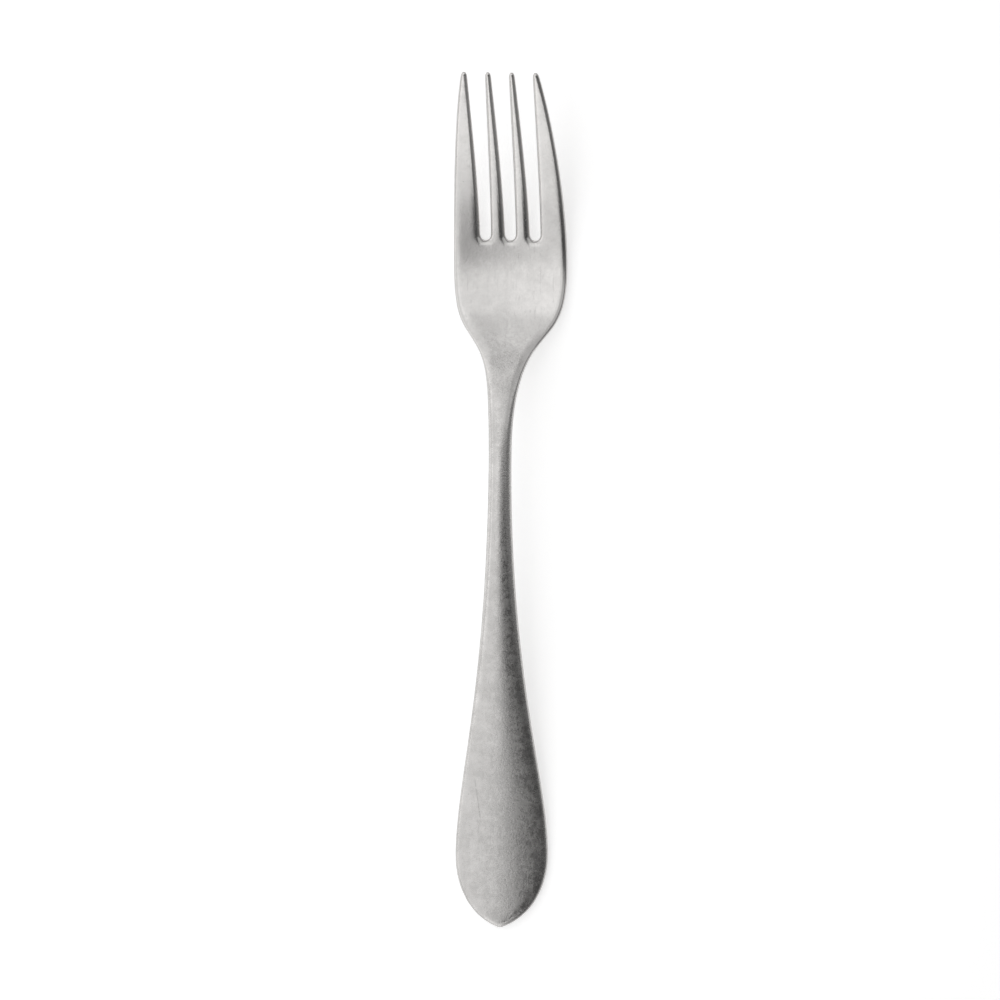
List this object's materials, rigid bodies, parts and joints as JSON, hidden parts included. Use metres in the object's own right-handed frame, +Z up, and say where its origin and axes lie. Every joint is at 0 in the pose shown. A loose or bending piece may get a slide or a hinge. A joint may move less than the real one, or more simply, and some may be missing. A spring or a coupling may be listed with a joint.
{
  "type": "serving fork",
  "caption": "Solid steel serving fork with a broad crowned handle ending in a soft point, a slim arched neck, and a dished head that runs out into tapered, upswept tines.",
  "frame": {"origin": "on the table, under the middle of the fork's length and width, with the fork lying tines up", "axes": "+Z up from the table, +Y along the fork from the handle to the tines, +X across it to the right"},
  "size_m": [0.0326, 0.2401, 0.0222],
  "materials": {
    "steel": "stonewashed satin, finely mottled"
  },
  "bodies": {
    "root": {"fork": "steel"}
  },
  "joints": []
}
